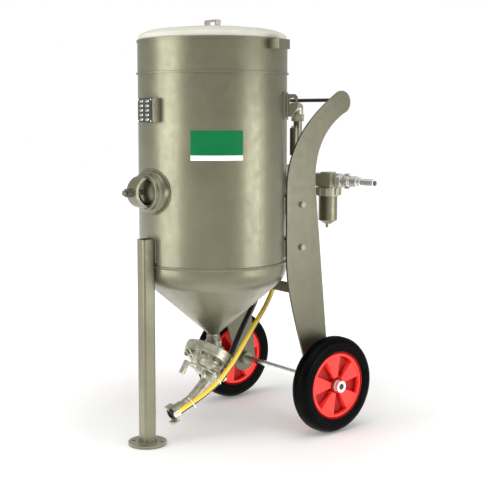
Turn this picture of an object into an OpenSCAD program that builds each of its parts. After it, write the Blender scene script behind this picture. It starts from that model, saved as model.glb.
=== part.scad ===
// Portable abrasive blast pot: pressure vessel with filling head and pop-up valve,
// handhole, metering valve, air pipework with moisture separator, and a wheeled frame.
// Millimetres, +Z up. The origin is on the floor, at the middle of the whole machine.

/* [Vessel] */
// Outside radius of the vessel shell
vessel_r = 178; // [172:1:180]
// Wall thickness of the shell, heads and collar
wall = 5; // [4:0.5:6]
// Height of the lower seam, where the cone is welded to the shell
seam_z = 422; // [415:1:430]
// Height of the upper seam, where the filling head is welded in
step_z = 868; // [860:1:880]
// Height of the rim of the filling collar
rim_z = 944; // [935:1:955]
// Radius of the filling port
port_r = 50; // [45:1:55]

/* [Handhole] */
// Height of the middle of the handhole
door_z = 593; // [580:1:610]
// Outside radius of the round ends of the handhole frame
door_r = 41; // [40:0.5:42]
// Straight length between those ends
door_flat = 22; // [18:1:26]

/* [Frame] */
// Width over flats of the front leg tube
leg_w = 32; // [30:1:36]
// Radius of the round foot plate
foot_r = 45; // [42:1:50]
// Outside face of a side plate, from the middle
plate_x = 150; // [149:1:151]
// Thickness of a side plate
plate_t = 5; // [4:0.5:5]

/* [Wheels] */
// Outside radius of a tyre
tyre_r = 117; // [115:1:119]
// Width of a tyre
tyre_w = 48; // [44:1:50]
// Middle of a wheel, from the middle of the machine
wheel_x = 198; // [197:1:200]
// Axle radius
axle_r = 7.5; // [7:0.25:8]

/* [Valves and fittings] */
// Radius of the metering valve flange
valve_r = 61; // [59:1:63]
// Radius of a claw coupling over its claws
claw_r = 20; // [19:0.5:21]
// Radius of the moisture separator bowl
bowl_r = 24; // [22:1:26]

/* [Hidden] */
$fn = 96;
e = 0.01;
olive = [0.62, 0.61, 0.53];
steel = [0.75, 0.76, 0.77];
black = [0.06, 0.06, 0.06];
run_gap = 0.05;     // radial clearance of a running fit
part_gap = 0.3;     // gap between pieces on different bodies
fine = 32;          // $fn of small round parts

axle_y = 212;       // axle, behind the vessel's middle
leg_y = -193;       // middle of the front leg
sep_x = 62;         // moisture separator
sep_y = 321;
sep_z = 603;
sep_ring_r = 34;
stud_tip_y = -252;
y_mid = (stud_tip_y + sep_y + sep_ring_r) / 2;

// Bottom head: straight flange, knuckle, cone
cone_angle = 48.8;  // between the cone's side and the vertical
knuckle_r = 53;
corner_z = 381;     // where the cone's side would meet the shell
neck_r = 16;        // end of the cone
knuckle_t = knuckle_r * tan(cone_angle / 2);
cone_end_z = corner_z - (vessel_r - neck_r) / tan(cone_angle);
nipple_r = 14;
nipple_bore = 9;
nipple_z = 204;     // lower end of the outlet nipple

// Filling head
dish_r = 318;       // dish radius of the filling head
port_z = 830;       // edge of the filling port
dish_z = port_z + sqrt(dish_r * dish_r - port_r * port_r);
lid_r = 176.5;

// Internal air pipe and pop-up valve
pipe_r = 13;
inlet_z = 786;
stand_top = 800;

// Handhole
door_front_y = -197; // front face of the handhole frame
door_back_y = -161;  // flat inner face that the gasket seals on
yoke_front = -236;     // front face of the yoke's boss
cover_r = 33;
hole_r = 30;
dome_r = 40;          // raised middle of the cover
dome_front_y = -201;

// Side plates
cap_c = [284, 800]; // middle of the rounded top end
cap_r = 28;
heel_r = 36;        // rounded lower end, round the axle
frame_bolt_y = 154;
frame_bolt_z = [555, 452];

// Metering valve, tilted towards the front
valve_o = [0, -9, 194];
valve_tilt = 38;
valve_turn = 14;    // how far the tilt is turned towards the right
pivot_y = -6;       // lever pivot, in the valve's own frame
disc_r = 37.5;
disc_t = 7.4;
body_t = 16;
cover_t = 18;
spindle_r = 6;
boss_t = 13;        // boss under the cover, that the lever turns on
lever_z = -62;      // underside of the lever's arm
lever_r = 48;       // radius of the lever's wire

// Outlet: junction, knee, coupling
wye_c = [0, -8, 130];
wye_r = 24;
back_port = [0, 20, 122];
knee = [0, -58, 88];
bend_c = [0, -80, 75];
blast_end = [0, -124, 58];
pipe_o = 14;

// Air pipework at the back
riser = [-15, 284];
riser_r = 11;
valve_top = 650;
silencer_p = [42, 222];

// Hose routes
pusher_r = 8;
pusher_route = [[-15, 264, 583], [-15, 262, 560], [-22, 246, 510], [-34, 220, 440],
                [-40, 194, 372], [-40, 174, 321], [-36, 155, 285], [-25, 105, 224], [-11, 61, 168],
                [-5, 44, 138], [0, 32, 123], [0, 20.7, 122]];
line_r = 5.2;
twin_gap = 11;      // spacing of the two control hoses
line_route = [[18, 264, 572], [22, 250, 510], [20, 222, 440], [16, 194, 372],
              [21, 167, 323], [34, 134, 291], [50, 86, 252], [64, 41, 212],
              [69, 9, 179], [71, -15, 158], [68, -35, 138], [60, -71, 112],
              [50, -100, 93], [43, -129, 77]];

// ---- helpers ----

// Everything is drawn about the vessel's axis, then moved so that the origin is mid-machine
module place() translate([0, -y_mid, 0]) children();

module tube(ro, ri, h) difference() {
    cylinder(r = ro, h = h);
    translate([0, 0, -1]) cylinder(r = ri, h = h + 2);
}

// Straight round bar from p to q
module bar(p, q, r1, r2) {
    d = q - p;
    len = norm(d);
    translate(p)
        rotate([0, acos(d[2] / len), atan2(d[1], d[0])])
            cylinder(r1 = r1, r2 = (r2 == undef) ? r1 : r2, h = len);
}

// Oval with round ends, straight along X
module oval(r, flat) {
    square([flat, 2 * r], center = true);
    for (s = [-1, 1]) translate([s * flat / 2, 0]) circle(r = r);
}

// Stands an outline drawn in X and Z up at y, and gives it a depth towards +Y
module front_slab(y, z, depth)
    translate([0, y + depth, z]) rotate([90, 0, 0]) linear_extrude(depth) children();

// Square with rounded corners
module soft_square(w, r) {
    square([w - 2 * r, w], center = true);
    square([w, w - 2 * r], center = true);
    for (x = [-1, 1], y = [-1, 1])
        translate([x * (w / 2 - r), y * (w / 2 - r)]) circle(r = r, $fn = fine);
}

module hex(af, h) cylinder(r = af / sqrt(3), h = h, $fn = 6);

function bezier(p, n) = [for (i = [0:n]) let (t = i / n, u = 1 - t)
    u * u * u * p[0] + 3 * u * u * t * p[1] + 3 * u * t * t * p[2] + t * t * t * p[3]];
function arc(c, r, a0, a1, n) = [for (i = [0:n]) let (a = a0 + (a1 - a0) * i / n)
    c + r * [cos(a), sin(a)]];

// Smooth curve through the points of a route
function spline_at(p, i, t) =
    let (n = len(p) - 1, a = p[max(i - 1, 0)], b = p[i], c = p[min(i + 1, n)],
         d = p[min(i + 2, n)])
    0.5 * (2 * b + (c - a) * t + (2 * a - 5 * b + 4 * c - d) * t * t
           + (3 * b - a - 3 * c + d) * t * t * t);
function spline(p, m) = concat([for (i = [0:len(p) - 2], k = [0:m - 1])
    spline_at(p, i, k / m)], [p[len(p) - 1]]);
function unit(v) = v / norm(v);

// Tube swept along a route, one ring at each point
module hose(route, r, sides) {
    n = len(route) - 1;
    rings = [for (i = [0:n])
        let (d = unit(route[min(i + 1, n)] - route[max(i - 1, 0)]),
             u = unit(cross(d, [1, 0, 0])), v = cross(d, u))
        for (k = [0:sides - 1]) let (a = 360 * k / sides)
            route[i] + r * (cos(a) * u + sin(a) * v)];
    faces = concat(
        [for (i = [0:n - 1], k = [0:sides - 1]) let (j = (k + 1) % sides)
            [i * sides + k, i * sides + j, (i + 1) * sides + j, (i + 1) * sides + k]],
        [[for (k = [sides - 1:-1:0]) k]],
        [[for (k = [0:sides - 1]) n * sides + k]]);
    polyhedron(points = rings, faces = faces);
}

module both_sides() for (s = [0, 1]) mirror([s, 0, 0]) children();

// ---- vessel ----

module vessel_shell() color(olive) place() difference() {
    translate([0, 0, seam_z]) tube(vessel_r, vessel_r - wall, step_z - seam_z - 4);
    front_slab(-vessel_r - 10, door_z, 60) oval(door_r + 0.05, door_flat);
    translate([0, 0, inlet_z]) rotate([-90, 0, 0]) translate([riser[0], 0, 0])
        cylinder(r = pipe_r + 0.05, h = vessel_r + 10, $fn = 48);
}

// One side of the bottom head, from the straight flange down to the cone's end
function cone_side(off) = concat(
    arc([vessel_r - knuckle_r, corner_z + knuckle_t], knuckle_r - off, 0, -cone_angle, 10),
    [off > 0 ? [nipple_r, cone_end_z + (off / cos(cone_angle) - neck_r + nipple_r) / tan(cone_angle)]
             : [neck_r, cone_end_z]]);
function reversed(p) = [for (i = [len(p) - 1:-1:0]) p[i]];

module bottom_cone() color(olive) place() rotate_extrude() polygon(concat(
    [[vessel_r - wall, seam_z - e], [vessel_r + 1.6, seam_z - e],
     [vessel_r + 1.6, seam_z - 4], [vessel_r, seam_z - 6]],
    cone_side(0),
    [[nipple_r, cone_end_z]],
    reversed(cone_side(wall))));

module filling_head() color(olive) place() rotate_extrude() {
    intersection() {
        difference() {
            translate([0, dish_z]) circle(r = dish_r + wall, $fn = 360);
            translate([0, dish_z]) circle(r = dish_r, $fn = 360);
        }
        translate([port_r, port_z - 20])
            square([vessel_r - wall - port_r, step_z - port_z + 20]);
    }
    translate([vessel_r - wall - 5, step_z - 12]) square([5, 12]);
    translate([vessel_r - wall - 5, step_z - 4 + e]) square([wall + 9, 4 - 2 * e]);
    translate([port_r, port_z - 6]) square([5, 8]);
}

module filling_collar() color(olive) place() translate([0, 0, step_z]) {
    difference() {
        union() {
            cylinder(r = vessel_r + 0.7, h = rim_z - step_z);
            translate([0, 0, rim_z - step_z - 5]) cylinder(r = vessel_r + 2.5, h = 5);
        }
        translate([0, 0, -1]) cylinder(r = vessel_r - 4, h = 100);
    }
}

module port_seal() color(black) place() translate([0, 0, port_z - 16])
    tube(port_r + 5, port_r - 10, 10);

module air_stand_pipe() color(steel) place() difference() {
    union() {
        translate([riser[0], 0, inlet_z]) rotate([-90, 0, 0])
            cylinder(r = pipe_r, h = vessel_r + 8);
        translate([0, 0, inlet_z - 20]) cylinder(r = pipe_r + 8, h = stand_top - inlet_z + 20);
    }
    translate([0, 0, inlet_z - 14]) cylinder(r = 8 + run_gap, h = 60, $fn = 48);
    translate([riser[0], 5, inlet_z]) rotate([-90, 0, 0])
        cylinder(r = 9, h = vessel_r + 8);
}

module outlet_nipple() color(steel) place() translate([0, 0, nipple_z])
    tube(nipple_r, nipple_bore, cone_end_z + 5 - nipple_z);

// Plug that the air lifts against the port seal, with its stem in the stand pipe
module popup_valve() color(steel) place() {
    translate([0, 0, inlet_z - 8]) cylinder(r = 8, h = stand_top - inlet_z + 10, $fn = 48);
    translate([0, 0, stand_top + part_gap]) rotate_extrude() polygon([[0, 0],
        [port_r - 3, 0], [port_r - 3, 2], [port_r - 14, 6], [0, 12]]);
}

// Round mesh tray that rests in the filling head
module sieve() color(steel) place() {
    z0 = dish_z - sqrt(dish_r * dish_r - 150 * 150) + part_gap;
    translate([0, 0, z0]) tube(150, 146, 26);
    for (s = [0, 90]) rotate(s) for (i = [-5:5]) {
        half = sqrt(147 * 147 - i * i * 576);
        translate([i * 24 - 1.5, -half, z0]) cube([3, 2 * half, 3]);
    }
}

module lid() color([0.88, 0.87, 0.80]) place() translate([0, 0, rim_z + part_gap])
    rotate_extrude() polygon([[0, 8], [150, 8], [lid_r - 18, -10], [lid_r - 12, -10],
        [lid_r - 11, 0], [lid_r, 0], [lid_r, 10], [lid_r - 3, 13.5], [lid_r - 16, 19.5],
        [lid_r - 36, 24], [lid_r - 76, 28.5], [50, 30], [0, 30]]);

module lid_handle() color([0.35, 0.35, 0.33]) place() translate([0, 0, rim_z + part_gap]) {
    for (s = [-1, 1]) translate([s * 20.5 - 2.5, -7, 30.2]) cube([5, 14, 16]);
    for (s = [-1, 1]) translate([s * 27 - 9, -7, 30.2]) cube([18, 14, 2.4]);
    translate([-23, -7, 45.7]) cube([46, 14, 3.6]);
}

module collar_lugs() color(olive) place() for (a = [16, 196]) rotate(a)
    difference() {
        translate([vessel_r - 6, -22, 919]) cube([34, 44, 22]);
        cylinder(r = vessel_r + 0.7, h = 1000);
        translate([0, 0, rim_z - 5]) cylinder(r = vessel_r + 2.5, h = 5);
        translate([vessel_r + 17, 0, 900]) cylinder(r = 4, h = 50, $fn = fine);
    }

module lifting_lug() rotate(38) {
    intersection() {
        translate([0, 0, 758]) tube(vessel_r + 4, vessel_r, 64);
        translate([vessel_r - 20, -19, 750]) cube([40, 38, 80]);
    }
    translate([vessel_r + 3, 3, 0]) rotate([90, 0, 0]) linear_extrude(6) difference() {
        polygon([[0, 765], [12, 765], [26, 785], [26, 812], [20, 818], [0, 818]]);
        translate([14, 801]) circle(r = 8, $fn = 48);
    }
}
module lifting_lugs() color(olive) place() both_sides() lifting_lug();

// ---- handhole ----

module door_frame() color(olive) place() difference() {
    union() {
        front_slab(door_front_y, door_z, door_back_y - door_front_y) oval(door_r, door_flat);
        difference() {
            union() {
                front_slab(door_front_y + 6, door_z, 30) oval(door_r + 5, door_flat);
                front_slab(door_front_y + 13, door_z, 25) oval(door_r + 10, door_flat);
            }
            cylinder(r = vessel_r, h = 1000);
        }
    }
    front_slab(door_front_y - 1, door_z, 60) oval(hole_r, door_flat);
}

module door_gasket() color(black) place() difference() {
    front_slab(door_back_y, door_z, 4) oval(cover_r + 5, door_flat);
    front_slab(door_back_y - 1, door_z, 6) oval(hole_r - 2.5, door_flat);
}

// Inner cover with its raised middle and welded stud
module door_cover() color(olive) place() {
    front_slab(door_back_y + 4, door_z, 6) oval(cover_r + 5, door_flat);
    front_slab(-vessel_r + 6, door_z, 16) oval(hole_r - 3, door_flat);
    intersection() {
        translate([0, dome_front_y + dome_r, door_z]) sphere(r = dome_r);
        front_slab(dome_front_y - 1, door_z, 40) oval(hole_r - 3, door_flat);
    }
    translate([0, stud_tip_y, door_z]) rotate([-90, 0, 0])
        cylinder(r = 6, h = 95, $fn = fine);
}

// Arched bridge that the nut pulls the cover up against, narrower towards its two feet
module door_yoke() color(olive) place() difference() {
    union() {
        intersection() {
            translate([-20, 4, 0]) translate([0, door_front_y, door_z]) rotate([0, 90, 0])
                tube(38, 31, 40);
            translate([-30, door_front_y - 60, door_z - 60]) cube([60, 60, 120]);
            translate([0, door_front_y - 60, door_z]) rotate([-90, 0, 0])
                cylinder(r = 39.5, h = 70);
        }
        translate([0, yoke_front, door_z]) rotate([-90, 0, 0]) cylinder(r = 11, h = 22, $fn = 48);
    }
    translate([0, yoke_front - 5, door_z]) rotate([-90, 0, 0])
        cylinder(r = 6.5, h = 40, $fn = 48);
}

module door_nut() color(steel) place() translate([0, yoke_front - part_gap, door_z])
    rotate([90, 0, 0]) difference() {
        hex(19, 9);
        translate([0, 0, -1]) cylinder(r = 6 + run_gap, h = 12, $fn = 48);
    }

// ---- plates and label ----

plate_w = 57;
plate_mid = 5.5;     // the plate's middle, right of the vessel's
plate_h = 55;
plate_z = 780;
module data_plate_bracket() color(steel) place() difference() {
    translate([plate_mid - plate_w / 2 - 2, -195, plate_z - plate_h / 2])
        cube([plate_w + 4, 24, plate_h]);
    translate([plate_mid - plate_w / 2, -192.5, plate_z - plate_h / 2 - 1])
        cube([plate_w, 40, plate_h + 2]);
    translate([0, 0, plate_z - 40]) cylinder(r = vessel_r, h = 80);
}

module data_plate() color(steel) place() translate([plate_mid, 0, plate_z]) {
    translate([-plate_w / 2, -196.5, -plate_h / 2]) cube([plate_w, 1.5, plate_h]);
    for (x = [-14, 10], k = [0:4])
        translate([x, -196.5, 10.4 * (k - 2)]) rotate([90, 0, 0])
            linear_extrude(1) oval(3.6, 11);
}

module label() color([0, 0.5, 0.3]) place() intersection() {
    translate([0, 0, 667.5]) tube(vessel_r + 0.6, vessel_r, 67.5);
    rotate(-33.4 - 19.3) rotate_extrude(angle = 38.6)
        translate([vessel_r - 10, 660]) square([20, 80]);
}

// ---- frame ----

module front_leg() color(olive) place() difference() {
    translate([0, leg_y, 6]) linear_extrude(478) difference() {
        soft_square(leg_w, 6);
        soft_square(leg_w - 6, 3);
    }
    translate([0, 0, seam_z - 60]) cylinder(r = vessel_r + 0.05, h = 200);
    translate([0, 0, seam_z - 6]) cylinder(r = vessel_r + 1.7, h = 6);
}

module foot_plate() color(olive) place() translate([0, leg_y, 0]) difference() {
    cylinder(r = foot_r, h = 6);
    for (a = [45:90:315]) rotate(a) translate([33, 0, -1])
        cylinder(r = 5, h = 8, $fn = fine);
}

function side_outline() = concat(
    arc(cap_c, cap_r, -50, 125, 12),
    bezier([[262, 819], [170, 760], [108, 690], [108, 590]], 14),
    bezier([[108, 430], [108, 370], [122, 310], [174, 150]], 10),
    arc([axle_y, 117], heel_r, 150, 355, 14),
    [[198, 600]],
    [for (i = [1:13]) bezier([[198, 600], [192, 690], [235, 745], [300, 778]], 14)[i]]);

module side_plate(s) difference() {
    translate([s > 0 ? plate_x - plate_t : -plate_x, 0, 0])
        rotate([90, 0, 90]) linear_extrude(plate_t) polygon(side_outline());
    for (z = frame_bolt_z) translate([0, frame_bolt_y, z]) rotate([0, 90, 0])
        cylinder(r = 5, h = 400, center = true, $fn = fine);
    translate([0, axle_y, tyre_r]) rotate([0, 90, 0])
        cylinder(r = axle_r + 0.1, h = 400, center = true, $fn = 48);
}
module side_plate_right() color(olive) place() side_plate(1);
module side_plate_left() color(olive) place() side_plate(-1);

// Lugs on the shell that the side plates are bolted to
module shell_brackets() color(olive) place() both_sides() for (z = frame_bolt_z)
    difference() {
        union() {
            translate([plate_x - plate_t - 6, 100, z - 20]) cube([6, 74, 40]);
            translate([45, 168, z - 20]) cube([plate_x - plate_t - 45, 6, 40]);
        }
        cylinder(r = vessel_r, h = 1200);
        translate([0, frame_bolt_y, z]) rotate([0, 90, 0])
            cylinder(r = 5, h = 400, $fn = fine);
    }

module plate_bolts() place() both_sides() for (z = frame_bolt_z)
    translate([0, frame_bolt_y, z]) rotate([0, 90, 0]) {
        translate([0, 0, 130]) cylinder(r = 4.9, h = plate_x - 130 + 1, $fn = fine);
        translate([0, 0, plate_x]) cylinder(r = 9, h = 1.6, $fn = fine);
        translate([0, 0, plate_x + 1.6]) hex(13, 5);
        translate([0, 0, plate_x - plate_t - 6 - 7]) hex(13, 7);
    }

module handle_bar() color(black) place() translate([0, 272, 805]) rotate([0, 90, 0])
    cylinder(r = 4.5, h = 2 * (plate_x - plate_t), center = true, $fn = fine);

module cross_strap() color([0.3, 0.3, 0.27]) place()
    translate([plate_t - plate_x, 160, 333]) cube([2 * (plate_x - plate_t), 5, 25]);

module axle() color(steel) place() translate([0, axle_y, tyre_r]) rotate([0, 90, 0])
    cylinder(r = axle_r, h = 2 * 229, center = true, $fn = 48);

module axle_clamps() color(olive) place() both_sides()
    translate([plate_x - plate_t - 14, axle_y, tyre_r]) rotate([0, 90, 0])
        tube(16, axle_r, 14);

module axle_caps() color(steel) place() both_sides()
    translate([wheel_x + tyre_w / 2 + 2.4, axle_y, tyre_r]) rotate([0, 90, 0])
        tube(14, axle_r, 7.6, $fn = 48);

// ---- wheels ----

rim_seat = 79;
module wheel_at(s) place() translate([s * wheel_x, axle_y, tyre_r])
    rotate([0, s * 90, 0]) children();

module tyre() rotate_extrude() {
    w = tyre_w / 2;
    difference() {
        polygon([[rim_seat, -w + 5], [88, -w], [106, -w + 2], [113, -w + 8],
                 [tyre_r, -w + 15], [tyre_r, w - 15], [113, w - 8], [106, w - 2],
                 [88, w], [rim_seat, w - 5]]);
        for (s = [-1, 1]) {
            translate([98, s * w]) circle(r = 1.6, $fn = fine);
            translate([tyre_r, s * 5]) circle(r = 1.6, $fn = fine);
        }
    }
}

module spoke_wedges(h) linear_extrude(h) intersection() {
    difference() {
        circle(r = rim_seat - 5);
        circle(r = 19);
    }
    for (i = [0:4]) rotate(i * 72)
        polygon([[0, -4], [90, -30], [90, 30], [0, 4]]);
}

module rim() {
    w = tyre_w / 2;
    rotate_extrude() {
        translate([rim_seat - 6, 5 - w]) square([6, 2 * w - 10]);
        translate([13.5, -w - 0.2]) square([8, 2 * w + 0.4]);
        translate([13.5, -3]) square([rim_seat - 16, 6]);
    }
    for (m = [0, 1]) mirror([0, 0, m]) translate([0, 0, 2]) spoke_wedges(w - 8);
}

module bush() tube(13.5, axle_r + run_gap, tyre_w + 4, $fn = 48);

module tyre_right() color(black) wheel_at(1) tyre();
module tyre_left() color(black) wheel_at(-1) tyre();
module rim_right() color([0.85, 0.15, 0.13]) wheel_at(1) rim();
module rim_left() color([0.85, 0.15, 0.13]) wheel_at(-1) rim();
module bush_right() color([0.8, 0.8, 0.78]) wheel_at(1)
    translate([0, 0, -tyre_w / 2 - 2]) bush();
module bush_left() color([0.8, 0.8, 0.78]) wheel_at(-1)
    translate([0, 0, -tyre_w / 2 - 2]) bush();

// ---- metering valve, drawn in its own tilted frame ----

module in_valve() place() translate(valve_o) rotate([0, 0, valve_turn])
    rotate([-valve_tilt, 0, 0]) children();

// Where the vessel's axis goes through the valve, at height z of the valve's own frame
function passage(z) = [-valve_o[1] * sin(valve_turn),
                       -valve_o[1] * cos(valve_turn) / cos(valve_tilt) - z * tan(valve_tilt)];

bolt_angles = [20, 62, 130, 165, 205, 335];
rib_angles = [185, 228, 252, 288, 312];
module metering_body() color(steel) difference() {
    union() {
        in_valve() translate([0, 0, -body_t]) cylinder(r = valve_r, h = body_t);
        place() translate([0, 0, 178]) cylinder(r = 20, h = 42);
    }
    in_valve() translate([0, pivot_y, -body_t - 1]) cylinder(r = 38, h = 9);
    in_valve() translate([0, 0, -body_t - 60]) cylinder(r = 200, h = 60);
    place() translate([0, 0, 150]) cylinder(r = nipple_bore, h = 100, $fn = 48);
    place() translate([0, 0, nipple_z]) cylinder(r = nipple_r, h = 100, $fn = 48);
    in_valve() for (a = bolt_angles) rotate(a) translate([valve_r - 8, 0, -40])
        cylinder(r = 4, h = 60, $fn = fine);
}

module metering_cover() color(steel) difference() {
    union() {
        in_valve() translate([0, 0, -body_t - 7]) cylinder(r = valve_r - 2, h = 7);
        in_valve() translate([0, -2, -body_t - cover_t]) cylinder(r = 44, h = cover_t);
        in_valve() translate([0, pivot_y, -body_t - cover_t - boss_t])
            cylinder(r1 = 20, r2 = 34, h = boss_t + e);
        in_valve() for (a = rib_angles) rotate(a) rotate([90, 0, 0]) translate([0, 0, -2.5])
            linear_extrude(5) polygon([[26, -44], [57, -26], [57, -20], [26, -20]]);
        place() translate([0, 0, 140]) cylinder(r = 18, h = 30);
    }
    in_valve() translate([0, 0, -body_t]) cylinder(r = 200, h = 60);
    place() translate([0, 0, 100]) cylinder(r = nipple_bore, h = 120, $fn = 48);
    in_valve() translate([0, pivot_y, -60]) cylinder(r = spindle_r + run_gap, h = 80, $fn = 48);
    in_valve() for (a = bolt_angles) rotate(a) translate([valve_r - 8, 0, -40])
        cylinder(r = 4, h = 60, $fn = fine);
    place() translate(wye_c) sphere(r = wye_r + 0.05, $fn = 64);
}

// Plate whose hole lines up with the passage, or closes it as the lever swings
module metering_disc() color(steel) in_valve() difference() {
    translate([0, pivot_y, -body_t + 0.3]) cylinder(r = disc_r, h = disc_t);
    translate(concat(passage(disc_t / 2 - body_t), [-body_t - 1]))
        cylinder(r = nipple_bore, h = 12, $fn = 48);
    translate([0, pivot_y, -body_t - 1]) cylinder(r = spindle_r, h = 12, $fn = 48);
}

module metering_lever() color([0.5, 0.5, 0.46]) in_valve() translate([0, pivot_y, 0])
    rotate(-20) {
    translate([0, 0, lever_z])
        cylinder(r = spindle_r, h = -lever_z - body_t + 0.3 + disc_t, $fn = 48);
    translate([0, 0, lever_z])
        cylinder(r = 12, h = -lever_z - body_t - cover_t - boss_t - part_gap, $fn = 48);
    rotate(-81) {
        translate([0, -5, lever_z + 0.5]) cube([lever_r, 10, 5]);
        translate([0, 0, lever_z + 3]) rotate_extrude(angle = 96)
            translate([lever_r, 0]) circle(r = 2, $fn = fine);
        translate([lever_r, 0, lever_z - 27]) cylinder(r = 7, h = 33, $fn = fine);
        rotate(96) translate([lever_r, 0, lever_z - 13]) cylinder(r = 4.5, h = 19, $fn = fine);
    }
}

module valve_bolts() in_valve() for (a = bolt_angles) rotate(a)
    translate([valve_r - 8, 0, 0]) {
        translate([0, 0, -body_t - 16]) cylinder(r = 3.9, h = body_t + 22, $fn = fine);
        hex(11, 6);
        translate([0, 0, -body_t - 7 - 6]) hex(11, 6);
    }

module hex_bolts() color(steel) {
    plate_bolts();
    valve_bolts();
}

// ---- outlet ----

module outlet_wye() color(steel) place() difference() {
    union() {
        translate(wye_c) sphere(r = wye_r, $fn = 64);
        bar(wye_c, knee, 17, pipe_o);
        translate(knee) sphere(r = pipe_o + 1, $fn = 64);
        bar(knee, bend_c, pipe_o - 0.5);
        translate(bend_c) sphere(r = pipe_o + 1, $fn = 64);
        bar(bend_c, bend_c + 14 * unit(blast_end - bend_c), pipe_o - 0.5);
        bar([0, wye_c[1], back_port[2]], back_port, 10);
    }
    translate([0, 0, wye_c[2]]) cylinder(r = nipple_bore, h = 60, $fn = 48);
}

// Quick coupling: a body, a flange disc and two hooked claws; the face is at z = 0
module claws(face_r, body_r, body_len, bore) difference() {
    union() {
        translate([0, 0, -body_len]) cylinder(r = body_r, h = body_len - part_gap / 2);
        translate([0, 0, -6.2]) cylinder(r = face_r - 3.2, h = 6);
        translate([0, 0, -9]) cylinder(r = face_r - 6.3, h = 4);
        for (a = [0, 180]) rotate(a - 25) rotate_extrude(angle = 50) {
            translate([face_r - 2.8, -9]) square([2.8, 18.2]);
            translate([face_r - 7, -9]) square([7, 2.8]);
            translate([face_r - 6, 6.6]) square([6, 2.6]);
        }
    }
    translate([0, 0, -body_len - 1]) cylinder(r = bore, h = body_len + 40, $fn = 48);
}

module along(p, q) {
    d = q - p;
    translate(q) rotate([0, acos(d[2] / norm(d)), atan2(d[1], d[0])]) children();
}

module blast_coupling() color(steel) place()
    along(bend_c, blast_end) claws(24, 16, norm(blast_end - bend_c) - 14, 9);

module blast_gasket() color(black) place()
    along(bend_c, blast_end) tube(14, 9, 3.8);

// ---- hoses ----

module pusher_hose() color(black) place() hose(spline(pusher_route, 3), pusher_r, 10);

module hose_clamps() color(steel) place() {
    line = spline(pusher_route, 3);
    n = len(line) - 1;
    for (i = [1, n - 3]) let (d = unit(line[i + 1] - line[i]))
        translate(line[i]) rotate([0, acos(d[2]), atan2(d[1], d[0])])
            tube(pusher_r + 2, pusher_r + 1, 6, $fn = 48);
}

// The second control hose lies behind and below the first
function beside(p, i) =
    let (n = len(p) - 1, d = unit(p[min(i + 1, n)] - p[max(i - 1, 0)]),
         u = unit(cross(d, [1, 0, 0])), v = cross(d, u))
    p[i] + twin_gap * (sin(41.4) * v - cos(41.4) * u);
function twin_route(p) = [for (i = [0:len(p) - 1]) beside(p, i)];

module control_hoses() color([0.93, 0.8, 0.25]) place() {
    hose(spline(line_route, 2), line_r, 8);
    hose(spline(twin_route(line_route), 2), line_r, 8);
}

module cable_ties() color([0.9, 0.9, 0.9]) place()
    for (i = [10, 12]) let (p = line_route[i], d = unit(line_route[i + 1] - line_route[i - 1]))
        translate((p + beside(line_route, i)) / 2 - 2 * d)
            rotate([0, acos(d[2]), atan2(d[1], d[0])])
                tube(twin_gap / 2 + line_r + 1.8, twin_gap / 2 + line_r + 0.4, 4, $fn = 48);

module control_fittings() color([0.85, 0.83, 0.75]) place()
    for (route = [line_route, twin_route(line_route)]) {
        line = spline(route, 2);
        n = len(line) - 1;
        bar(line[n], line[n] + 16 * unit(line[n] - line[n - 1]), 4.8);
        bar(line[0], line[0] + 10.5 * unit(line[0] - line[1]), 4.8);
    }

// ---- air pipework ----

module air_riser() color(steel) place() {
    bar([riser[0], vessel_r + 8, inlet_z], [riser[0], riser[1] - 18, inlet_z], riser_r);
    bar([riser[0], riser[1], valve_top], [riser[0], riser[1], inlet_z - 34], riser_r);
}

module pipe_fittings() color(olive) place() {
    translate([riser[0], riser[1], inlet_z]) {
        sphere(r = 14.5, $fn = 48);
        rotate([90, 0, 0]) cylinder(r = 14, h = 18);
        translate([0, 0, -16]) cylinder(r = 14, h = 16);
        translate([0, 0, -34]) hex(29, 18);
    }
    difference() {
        translate([riser[0], vessel_r - 10, inlet_z]) rotate([-90, 0, 0])
            tube(20, pipe_r + 0.05, 18);
        cylinder(r = vessel_r, h = 1000);
    }
}

module remote_valve() color(olive) place() {
    translate([riser[0], riser[1] - 2, 0]) {
        translate([0, 0, 592]) cylinder(r = 26, h = valve_top - 592 - 10);
        translate([0, 0, valve_top - 10]) cylinder(r = 18, h = 10);
        translate([0, 0, 600]) cylinder(r = 34, h = 8);
    }
    translate([-34, 252, 584]) cube([72, 41, 20]);
    bar([-15, sep_y - 29, sep_z + 14], [-15, sep_y, sep_z + 14], riser_r + 1);
    bar([-15, sep_y, sep_z], [sep_x - 40, sep_y, sep_z], riser_r);
    bar([silencer_p[0], silencer_p[1], 650], [silencer_p[0], silencer_p[1], 634], 6);
    bar([silencer_p[0], silencer_p[1], 640], [0, 276, 628], 5.5);
}

module exhaust_silencer() color([0.55, 0.54, 0.47]) place()
    translate([silencer_p[0], silencer_p[1], 0]) {
        translate([0, 0, 668]) cylinder(r = 10.5, h = 68, $fn = 48);
        translate([0, 0, 650]) cylinder(r = 6, h = 18, $fn = fine);
        for (s = [-1, 1]) translate([s * 6 - 2, -2, 735]) cube([4, 4, 6]);
    }

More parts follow.
